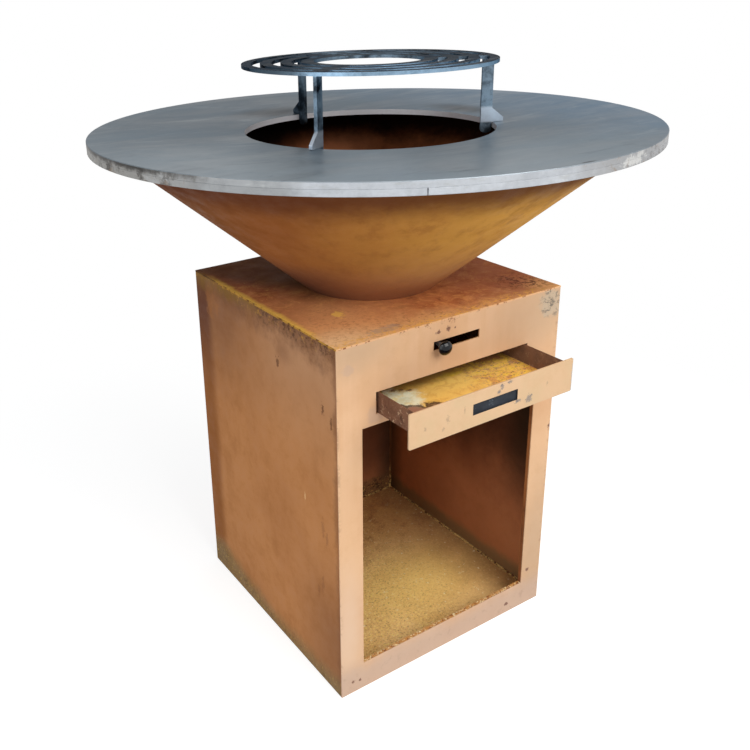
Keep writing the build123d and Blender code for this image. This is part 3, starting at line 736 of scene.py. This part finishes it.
def drawer_front_finish():
    """Drawer front: the palest patina, rusty behind, with dark steel in the cut edge of its pull."""
    look = Look("drawer_front_patina")
    coat = rust(look, (211, 176, 139), (206, 170, 132), (187, 148, 110), 0.35)
    haze = look.ramp(look.noise(9.0, 4.0, 0.6), 0.46, 0.62)
    coat.stain((202, 175, 136), haze, 0.55)
    drawer_front_marks(look, coat)
    worn = look.fringe(look.x, DRAWER_HIGH[0], DRAWER_HIGH[0] - 0.004, 0.008, 60.0)
    coat.stain((160, 162, 168), worn, 0.8)
    reverse = rust(look, (160, 108, 74), (134, 86, 58), (84, 52, 36))
    coat.stain(reverse, look.ramp(look.facing_y, 0.2, 0.7))
    cut = look.ramp(look.math("ABSOLUTE", look.facing_y), 0.5, 0.2)
    for value, axis in ((look.x, 0), (look.z, 2)):
        low = DRAWER_LOW[axis]
        high = DRAWER_HIGH[axis]
        cut = look.both(cut, look.ramp(value, low + 0.006, low + 0.01))
        cut = look.both(cut, look.ramp(value, high - 0.006, high - 0.01))
    coat.stain((44, 46, 52), cut)
    return rusted(look, coat, 0.5, 0.75)


def drawer_front_marks(look, coat):
    """Bare grey patches round the pull, and faint marks to both sides."""
    face = DRAWER_LOW[1]
    for along, height, width, tall in (
        (0.078, 0.5545, 0.008, 0.008),
        (0.052, 0.558, 0.008, 0.003),
        (0.014, 0.5965, 0.007, 0.005),
        (0.006, 0.588, 0.004, 0.004),
        (0.03, 0.6, 0.006, 0.003),
    ):
        bare = look.spot((along, face, height), (width, MARK_DEPTH, tall), 2.4)
        coat.stain((126, 120, 118), bare, 0.7)
        coat.strew((78, 80, 88), bare, (210.0, 0.5, 0.1), 0.7)
    for along, height, width, tall in (
        (-0.104, 0.571, 0.004, 0.006),
        (-0.068, 0.577, 0.002, 0.006),
        (-0.113, 0.556, 0.003, 0.004),
        (-0.15, 0.568, 0.004, 0.003),
        (0.12, 0.572, 0.002, 0.004),
    ):
        mark = look.spot((along, face, height), (width, MARK_DEPTH, tall), 2.6)
        coat.stain((166, 138, 112), mark, 0.6)


def hidden_finish(name, pale, middle, deep):
    """Inner steel pieces: heavy rust under a film of ash."""
    look = Look(name)
    coat = rust(look, pale, middle, deep)
    level = look.ramp(look.facing_z, 0.4, 0.9)
    coat.strew((150, 138, 126), level, (34.0, 0.44, 0.15), 0.6)
    return rusted(look, coat, 0.7, 0.95)


def griddle_finish():
    """Griddle: blue-grey mill steel; its outer edge is like the rim band and its bore is bare, and bright
    with painted light.
    """
    look = Look("griddle_steel")
    clouds = look.noise(7.0, 6.0, 0.66, (0.5, 1.3, 1.0), ROLLED, 0.4)
    scratches = look.noise(240.0, 3.0, 0.6, (0.03, 1.0, 1.0), ROLLED)
    coat = griddle_face_coat(look, clouds, scratches)
    rim = look.ramp(look.math("ABSOLUTE", look.facing_z), 0.8, 0.5)
    coat.stain(band_coat(look), rim)
    # painted light on the wall of the bore, which the grate shades
    reach = look.length(look.vector("MULTIPLY", look.place, (1.0, 1.0, 0.0)))
    bore = look.both(rim, look.ramp(reach, 0.3, 0.26))
    coat.stain((228, 226, 230), bore, 0.75)
    look.relief(look.math("ADD", clouds, look.math("MULTIPLY", scratches, 0.4)), depth=0.0002, strength=0.3)
    roughness = look.ramp(clouds, 0.3, 0.7, 0.3, 0.46)
    metallic = look.ramp(rim, 0.0, 1.0, 0.75, 0.35)
    return look.surface(coat, roughness, metallic, edge=(0.6, 0.6, 0.6))


def griddle_face_coat(look, clouds, scratches):
    """Clouded and smeared as it was rolled, with a painted sheen on the near side, bluer at the right, and
    dark by the bore with painted shadows and reflections of the legs.
    """
    smears = look.noise(30.0, 5.0, 0.65, (0.3, 1.2, 1.0), ROLLED, 0.8)
    coat = look.coat(look.ramp(clouds, 0.36, 0.66), (66, 82, 94), (86, 102, 114))
    # painted sheen: the plate is paler towards its near side
    near_sheen = look.fringe(look.slant(-0.6, -0.8), 0.55, 0.0, 0.15, 5.0)
    coat.stain((145, 155, 162), near_sheen, 0.8)
    blue = look.fringe(look.x, 0.45, 0.1, 0.15, 4.0)
    coat.stain((86, 115, 140), blue, 0.65)
    coat.stain((150, 160, 167), look.ramp(smears, 0.54, 0.7), 0.24)
    coat.stain((66, 76, 85), look.ramp(smears, 0.44, 0.28), 0.32)
    coat.stain((66, 76, 86), look.ramp(scratches, 0.6, 0.72), 0.25)
    # painted shadows and reflections of the grate's legs on the plate
    for centre, size in (
        ((-0.03, 0.27, PLATE_TOP), (0.11, 0.06, 0.1)),
        ((0.265, 0.05, PLATE_TOP), (0.045, 0.1, 0.1)),
    ):
        coat.stain((26, 32, 37), look.glow(centre, size), 0.85)
    burr = look.spot((0.0, -0.494, PLATE_TOP), (0.016, 0.003, 0.02), 0.6)
    coat.stain((44, 46, 54), burr, 0.9)
    return coat


def band_coat(look):
    """Bare flat bar: mill scale and burnt grease at the left, dull with brown specks at the right."""
    left = look.fringe(look.y, -0.12, -0.25, 0.12, 9.0)
    left = look.both(left, look.ramp(look.x, -0.3, -0.42))
    right = look.fringe(look.x, 0.05, -0.09, 0.1, 6.0)
    grey = band_greys(look)
    grey.stain((134, 130, 123), left, 0.75)
    grey.stain((142, 142, 143), right, 0.75)
    scaly = look.ramp(left, 0.0, 1.0, 0.08, 1.0)
    grey.strew((58, 53, 48), scaly, (34.0, 0.48, 0.14), 0.85)
    grey.strew((88, 84, 80), look.ramp(look.x, 0.08, 0.2), (90.0, 0.52), 0.6)
    bright = look.spot((0.1, -0.49, PLATE_TOP - 0.01), (0.03, 0.03, 0.01), 2.4)
    grey.stain((230, 230, 226), bright, 0.4)
    grey.strew((132, 112, 92), look.math("MAXIMUM", left, right), (52.0, 0.56), 0.6)
    burnt = look.both(look.fringe(look.z, PLATE_TOP - 0.002, PLATE_TOP - 0.01, 0.01, 40.0), left)
    grey.stain((40, 37, 34), burnt, 0.95)
    return grey


def band_greys(look):
    """The bar's own greys: pale at the far left, dull next to it, bluish beyond, and streaked lengthwise."""
    tone = look.ramp(look.noise(14.0, 6.0, 0.7), 0.4, 0.62)
    grey = look.coat(tone, (194, 196, 199), (174, 176, 179))
    for start, end, pale, deep in (
        (-0.48, -0.43, (150, 152, 154), (133, 135, 137)),
        (-0.39, -0.35, (185, 189, 195), (169, 173, 179)),
    ):
        zone = look.ramp(look.ragged(look.x, 0.03, 6.0), start, end)
        grey.stain(look.mix(tone, pale, deep), zone)
    grey.stain((166, 168, 168), look.ramp(look.noise(*BAR_DRAG), 0.5, 0.68), 0.5)
    return grey


def band_finish():
    """Rim band: bare flat bar, streaked round its length."""
    look = Look("rim_band_steel")
    drag = look.noise(*BAR_DRAG)
    look.relief(drag, depth=0.0005, strength=0.5)
    return look.surface(band_coat(look), look.ramp(drag, 0.3, 0.7, 0.5, 0.7), metallic=0.35)


def grate_finish():
    """Grate and legs: dark blued steel, with a painted sheen and smoother streaks on the near side of the
    disc.
    """
    look = Look("grate_steel")
    clouds = look.noise(16.0, 6.0, 0.68)
    fine = look.noise(170.0, 4.0, 0.65)
    disc = look.ramp(look.z, GRATE_LOW - 0.002, GRATE_LOW)
    near = look.ramp(look.slant(1.0, 1.0), 0.05, -0.05)
    shiny = look.fringe(look.slant(0.8, -0.6), -0.06, -0.16, 0.04, 9.0)
    sheen = look.both(disc, near, shiny)
    coat = look.coat(look.ramp(clouds, 0.3, 0.68), (36, 43, 50), (58, 72, 86))
    upright = look.ramp(look.facing_z, 0.8, 0.3)
    grate_sides(look, coat, clouds, upright)
    # painted sheen on the disc's upright faces on the near side
    coat.stain((160, 196, 226), look.both(sheen, upright), 0.38)
    sooty = look.both(disc, upright, look.ramp(shiny, 1.0, 0.0))
    coat.stain((40, 50, 58), sooty, 0.65)
    grate_legs(look, coat, fine)
    look.relief(fine, depth=0.0003, strength=0.3)
    streaks = look.ramp(look.noise(40.0, 5.0, 0.65, (0.2, 1.2, 1.0), ROLLED), 0.44, 0.58)
    satin = look.ramp(clouds, 0.3, 0.7, 0.34, 0.5)
    smoother = look.math("MULTIPLY", look.both(sheen, streaks), 0.14)
    roughness = look.math("SUBTRACT", satin, smoother)
    return look.surface(coat, roughness, metallic=0.95, edge=(0.11, 0.145, 0.18))


def grate_sides(look, coat, clouds, upright):
    """Upright faces are paler in clouds, a painted sheen, and a little more so at the right, painted light.
    """
    # painted sheen on the upright faces, in clouds
    pale = look.both(upright, look.ramp(clouds, 0.34, 0.56))
    coat.stain((136, 158, 176), pale, 0.7)
    # painted light on the upright faces at the right
    lit_right = look.fringe(look.x, 0.2, 0.02, 0.2, 6.0)
    coat.stain((140, 156, 170), look.both(lit_right, upright), 0.12)


def grate_legs(look, coat, fine):
    """The back leg is darker with painted shade, all is finely marked, and the near legs are bare and pale at
    their feet.
    """
    # painted shade on the back leg, which faces away from the light
    back = look.both(look.ramp(look.y, 0.1, 0.15), look.ramp(look.z, GRATE_LOW, GRATE_LOW - 0.002))
    coat.stain((26, 30, 34), back, 0.35)
    coat.stain((24, 27, 30), look.ramp(fine, 0.52, 0.74), 0.25)
    foot = look.both(
        look.fringe(look.z, PLATE_TOP + 0.014, PLATE_TOP + 0.02, 0.006, 40.0),
        look.ramp(look.z, PLATE_TOP - 0.012, PLATE_TOP - 0.008),
        look.ramp(look.y, 0.1, 0.0),
    )
    coat.stain((206, 217, 230), foot, 0.62)


def knob_finish():
    """Knob: glossy black moulding with fine handling marks."""
    look = Look("knob_black")
    marks = look.noise(420.0, 4.0, 0.6)
    coat = look.coat(look.ramp(marks, 0.5, 0.75, 0.0, 0.5), (8, 11, 15), (18, 22, 28))
    look.relief(marks, depth=0.00006, strength=0.3)
    return look.surface(coat, look.ramp(marks, 0.35, 0.75, 0.13, 0.22), specular=0.34)


def zinc_finish():
    """Fasteners and lever: dull plated steel, browned in places."""
    look = Look("fastener_zinc")
    spangle = look.noise(300.0, 3.0, 0.6)
    coat = look.coat(look.ramp(spangle, 0.4, 0.65), (150, 152, 154), (118, 120, 122))
    coat.stain((112, 72, 46), look.flecks(110.0, 0.5, 0.15), 0.7)
    look.relief(spangle, depth=0.0001, strength=0.4)
    return look.surface(coat, look.ramp(spangle, 0.3, 0.7, 0.38, 0.6), metallic=0.8)


def weld_finish():
    """Weld beads: scaly, darker than the sheet, dusted with golden rust near the floor."""
    look = Look("weld_rust")
    coat = rust(look, (150, 100, 58), (112, 70, 40), (64, 38, 24))
    low = look.ramp(look.z, 0.09, 0.03)
    coat.strew((240, 200, 124), low, (120.0, 0.44, 0.1), 0.9)
    return rusted(look, coat, 0.7, 0.95)


def node_finishes():
    """The finishes of the CAD nodes that have one of their own or share one, by node name."""
    finishes = {
        "front_fascia": front_finish(),
        "cabinet_side_left": side_finish("left_patina", LEFT),
        "cabinet_side_right": side_finish("right_patina", RIGHT),
        "cabinet_back": back_finish(),
        "cabinet_top": top_finish(),
        "store_floor": floor_finish(),
        "bowl_cone": bowl_finish(),
        "drawer_tray": tray_finish(),
        "drawer_front": drawer_front_finish(),
        "griddle_plate": griddle_finish(),
        "griddle_rim_band": band_finish(),
        "damper_knob": knob_finish(),
    }
    sooty = hidden_finish("ash_soot", (84, 60, 46), (64, 46, 36), (38, 28, 23))
    finishes.update(dict.fromkeys(SOOTY_NODES, sooty))
    finishes.update(dict.fromkeys(ZINC_NODES, zinc_finish()))
    return finishes


def dress():
    """Give every CAD node its finish: the grate's pieces share one, and the rest is inner rust."""
    finishes = node_finishes()
    grate = grate_finish()
    plain = hidden_finish("inner_rust", (150, 96, 62), (122, 74, 46), (76, 44, 28))
    for name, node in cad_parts.items():
        material = grate if name.startswith("grate_") else finishes.get(name, plain)
        for slot in node.material_slots:
            slot.material = material


def bead_ring(middle, first, second, size):
    """One ring of a weld bead: its corner, then the arc from one sheet to the other."""
    points = [tuple(middle)]
    for step in range(BEAD_ARC_STEPS + 1):
        angle = math.pi / 2 * step / BEAD_ARC_STEPS
        swell = 1.0 - BEAD_FLATTENED * math.sin(2 * angle)
        points.append(tuple(middle + (first * math.cos(angle) + second * math.sin(angle)) * size * swell))
    return points


def tube_faces(rings, around):
    """Faces of a closed tube of rings, each with the same number of points around it."""
    faces = []
    for base in range(0, (rings - 1) * around, around):
        for point in range(around):
            after = (point + 1) % around
            faces.append((base + point, base + after, base + around + after, base + around + point))
    last = (rings - 1) * around
    faces.append(tuple(range(around)))
    faces.append(tuple(reversed(range(last, last + around))))
    return faces


def weld_bead(draw, name, start, end, first, second, material):
    """A rippled weld bead in the corner between two sheets that run off along first and second."""
    start, end, first, second = Vector(start), Vector(end), Vector(first), Vector(second)
    length = (end - start).length
    lift = (first + second) * BEAD_LIFT
    steps = max(2, int(length / (BEAD_PITCH / BEAD_RINGS_PER_RIPPLE)))
    points = []
    for step in range(steps + 1):
        along = step / steps
        wave = 0.5 + 0.5 * math.sin(2 * math.pi * along * length / BEAD_PITCH)
        uneven = draw.uniform(-BEAD_UNEVEN, BEAD_UNEVEN)
        size = BEAD_RADIUS * (BEAD_VALLEY + BEAD_CREST * wave + uneven)
        points.extend(bead_ring(start.lerp(end, along) + lift, first, second, size))
    mesh = bpy.data.meshes.new(name)
    mesh.from_pydata(points, [], tube_faces(steps + 1, BEAD_ARC_STEPS + 2))
    mesh.polygons.foreach_set("use_smooth", [True] * len(mesh.polygons))
    mesh.materials.append(material)
    bead = bpy.data.objects.new(name, mesh)
    bpy.context.collection.objects.link(bead)
    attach(bead, "cabinet")


def weld_store():
    """Weld beads along the wood store's inner corners."""
    draw = random.Random(7)
    material = weld_finish()
    front, rear = LIP_REAR, INNER_REAR
    left, right = INNER_LEFT, INNER_RIGHT
    low, high = STORE_FLOOR, DECK_UNDERSIDE
    from_left, from_right, from_rear, up = (1, 0, 0), (-1, 0, 0), (0, -1, 0), (0, 0, 1)
    for name, start, end, first, second in (
        ("weld_floor_left", (left, front, low), (left, rear, low), from_left, up),
        ("weld_floor_right", (right, front, low), (right, rear, low), from_right, up),
        ("weld_floor_back", (left, rear, low), (right, rear, low), from_rear, up),
        ("weld_back_left", (left, rear, low), (left, rear, high), from_left, from_rear),
        ("weld_back_right", (right, rear, low), (right, rear, high), from_right, from_rear),
    ):
        weld_bead(draw, name, start, end, first, second, material)


def seen_directly(tree):
    """1 for camera, mirror and see-through rays, 0 for the rays that light the object."""
    path = add_node(tree, "ShaderNodeLightPath", {})
    total = path.outputs["Is Camera Ray"]
    for name in ("Is Glossy Ray", "Is Transmission Ray"):
        node = add_node(tree, "ShaderNodeMath", {0: total, 1: path.outputs[name]})
        node.operation = "MAXIMUM"
        total = node.outputs[0]
    return total


def mix_shaders(tree, share, below, above):
    """A shader between two, closer to the one above as the share grows."""
    return add_node(tree, "ShaderNodeMixShader", {0: share, 1: below, 2: above}).outputs[0]


def floor_material():
    """Pale grey to the light; seen directly, a soft shadow near the object that fades to plain white."""
    material = bpy.data.materials.new("floor_white")
    tree = empty_tree(material)
    matt = add_node(tree, "ShaderNodeBsdfDiffuse", {"Color": (0.78, 0.78, 0.78, 1)})
    shaded = add_node(tree, "ShaderNodeBsdfDiffuse", {"Color": (0.5, 0.5, 0.5, 1)})
    lifted = add_node(tree, "ShaderNodeEmission", {"Strength": 0.72})
    shadow = add_node(tree, "ShaderNodeAddShader", {0: shaded.outputs[0], 1: lifted.outputs[0]})
    white = add_node(tree, "ShaderNodeEmission", {})
    coordinates = add_node(tree, "ShaderNodeTexCoord", {})
    reach = add_node(tree, "ShaderNodeVectorMath", {0: coordinates.outputs["Object"]})
    reach.operation = "LENGTH"
    inner, outer = SHADOW_REACH
    limits = {"From Min": inner, "From Max": outer}
    fade = add_node(tree, "ShaderNodeMapRange", {"Value": reach.outputs["Value"], **limits})
    shown = mix_shaders(tree, fade.outputs[0], shadow.outputs[0], white.outputs[0])
    surface = mix_shaders(tree, seen_directly(tree), matt.outputs[0], shown)
    add_node(tree, "ShaderNodeOutputMaterial", {"Surface": surface})
    return material


def make_floor():
    """A wide floor just below the object."""
    mesh = bpy.data.meshes.new("floor")
    corners = [(x * FLOOR_HALF, y * FLOOR_HALF, 0) for x, y in ((-1, -1), (1, -1), (1, 1), (-1, 1))]
    mesh.from_pydata(corners, [], [(0, 1, 2, 3)])
    mesh.materials.append(floor_material())
    floor = bpy.data.objects.new("floor", mesh)
    floor.location.z = -FLOOR_DROP
    bpy.context.collection.objects.link(floor)


def make_world():
    """Even daylight on the object, and plain white where the background is seen."""
    world = bpy.data.worlds.new("studio")
    bpy.context.scene.world = world
    tree = empty_tree(world)
    light = add_node(tree, "ShaderNodeBackground", {"Color": (0.95, 0.98, 1.0, 1), "Strength": 0.45})
    white = add_node(tree, "ShaderNodeBackground", {"Color": (1, 1, 1, 1)})
    surface = mix_shaders(tree, seen_directly(tree), light.outputs[0], white.outputs[0])
    add_node(tree, "ShaderNodeOutputWorld", {"Surface": surface})


def make_lamp(name, place, target, size, watts, colour):
    """A soft square lamp, turned towards a point."""
    data = bpy.data.lights.new(name, "AREA")
    data.size = size
    data.energy = watts
    data.color = colour
    lamp = bpy.data.objects.new(name, data)
    lamp.location = place
    lamp.rotation_euler = (Vector(target) - Vector(place)).to_track_quat("-Z", "Y").to_euler()
    bpy.context.collection.objects.link(lamp)


def make_camera():
    """The photograph's viewpoint, found by matching the cabinet, griddle and grate to it."""
    degrees = (69.4795, 1.8929, -31.9423)
    data = bpy.data.cameras.new("camera")
    data.sensor_width = 36.0
    data.sensor_fit = "HORIZONTAL"
    data.lens = 41.38
    data.shift_x = 0.1071
    data.shift_y = -0.0933
    data.clip_end = 200.0
    camera = bpy.data.objects.new("camera", data)
    camera.location = (-0.9386, -1.2669, 1.2308)
    camera.rotation_euler = tuple(math.radians(angle) for angle in degrees)
    bpy.context.collection.objects.link(camera)
    bpy.context.scene.camera = camera


dress()
weld_store()
make_floor()
make_world()
for lamp in LAMPS:
    make_lamp(*lamp)
make_camera()
bpy.context.scene.view_settings.view_transform = "Standard"
